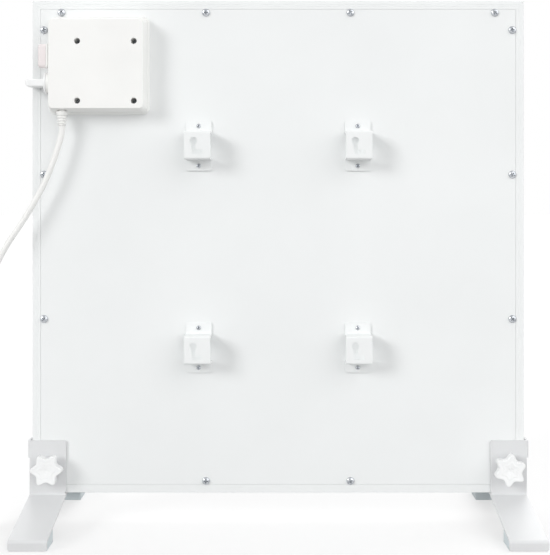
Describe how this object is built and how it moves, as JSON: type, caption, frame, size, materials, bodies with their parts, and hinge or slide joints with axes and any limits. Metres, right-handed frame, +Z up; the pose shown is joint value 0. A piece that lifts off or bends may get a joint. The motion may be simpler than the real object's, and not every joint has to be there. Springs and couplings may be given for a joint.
{
  "type": "infrared panel heater",
  "caption": "Square infrared panel heater seen from behind on two clamp-on stands, with wall brackets, a control box with rocker switch and thermostat dial, and a mains lead.",
  "frame": {"origin": "on the floor, under the middle of the panel and midway between the tips of the stands' legs", "axes": "+Z up, +Y out of the radiant face, +X to the right when seen from behind"},
  "size_m": [0.7805, 0.274, 0.636],
  "materials": {
    "white_coat": "satin",
    "stand_coat": "satin",
    "radiant_coat": "matte",
    "zinc": "bright zinc",
    "carbon_film": "matte",
    "mineral_wool": "fibrous",
    "box_plastic": "satin",
    "white_plastic": "semi-gloss",
    "lead_pvc": "satin",
    "foot_plastic": "matte",
    "rocker_red": "gloss",
    "clear_silicone": "clear",
    "nylon": "satin"
  },
  "bodies": {
    "heater": {"frame_top": "white_coat", "frame_bottom": "white_coat", "frame_left": "white_coat", "frame_right": "white_coat", "back_plate": "white_coat", "wall_bracket_upper_left": "white_coat", "wall_bracket_upper_right": "white_coat", "wall_bracket_lower_left": "white_coat", "wall_bracket_lower_right": "white_coat", "stand_left": "stand_coat", "stand_right": "stand_coat", "edge_screw_top_1": "zinc", "edge_screw_top_2": "zinc", "edge_screw_top_3": "zinc", "edge_screw_top_4": "zinc", "edge_screw_bottom_1": "zinc", "edge_screw_bottom_2": "zinc", "edge_screw_left_1": "zinc", "edge_screw_left_2": "zinc", "edge_screw_left_3": "zinc", "edge_screw_right_1": "zinc", "edge_screw_right_2": "zinc", "edge_screw_right_3": "zinc", "bracket_screw_upper_left_upper": "zinc", "bracket_screw_upper_left_lower": "zinc", "bracket_screw_upper_right_upper": "zinc", "bracket_screw_upper_right_lower": "zinc", "bracket_screw_lower_left_upper": "zinc", "bracket_screw_lower_left_lower": "zinc", "bracket_screw_lower_right_upper": "zinc", "bracket_screw_lower_right_lower": "zinc", "box_screw_1": "zinc", "box_screw_2": "zinc", "box_screw_3": "zinc", "box_screw_4": "zinc", "knob_washer_left": "zinc", "knob_washer_right": "zinc", "radiant_panel": "radiant_coat", "heating_film": "carbon_film", "insulation_pad": "mineral_wool", "box_base": "box_plastic", "box_cover": "box_plastic", "switch_housing": "box_plastic", "switch_boot": "clear_silicone", "thermostat_body": "nylon", "terminal_block": "nylon", "thermal_cutout": "nylon", "mains_plug": "white_plastic", "strain_relief": "lead_pvc", "mains_lead": "lead_pvc", "lead_coil": "lead_pvc", "foot_left_front": "foot_plastic", "foot_left_rear": "foot_plastic", "foot_right_front": "foot_plastic", "foot_right_rear": "foot_plastic"},
    "thermostat_dial": {"thermostat_knob": "white_plastic"},
    "rocker": {"switch_rocker": "rocker_red"},
    "clamp_left": {"star_knob_left": "white_plastic"},
    "clamp_right": {"star_knob_right": "white_plastic"}
  },
  "joints": [
    {"name": "dial_turn", "type": "hinge", "parent": "heater", "child": "thermostat_dial", "pos_m": [-0.2795, -0.0258, 0.534], "axis": [1, 0, 0], "range_deg": [0, 270]},
    {"name": "rocker_tilt", "type": "hinge", "parent": "heater", "child": "rocker", "pos_m": [-0.27741, -0.0291, 0.5665], "axis": [0, 1, 0], "range_deg": [-16, 0]},
    {"name": "clamp_left_turn", "type": "hinge", "parent": "heater", "child": "clamp_left", "pos_m": [-0.2797, -0.02, 0.067], "axis": [0, 1, 0], "continuous": true},
    {"name": "clamp_right_turn", "type": "hinge", "parent": "heater", "child": "clamp_right", "pos_m": [0.2797, -0.02, 0.067], "axis": [0, 1, 0], "continuous": true}
  ]
}
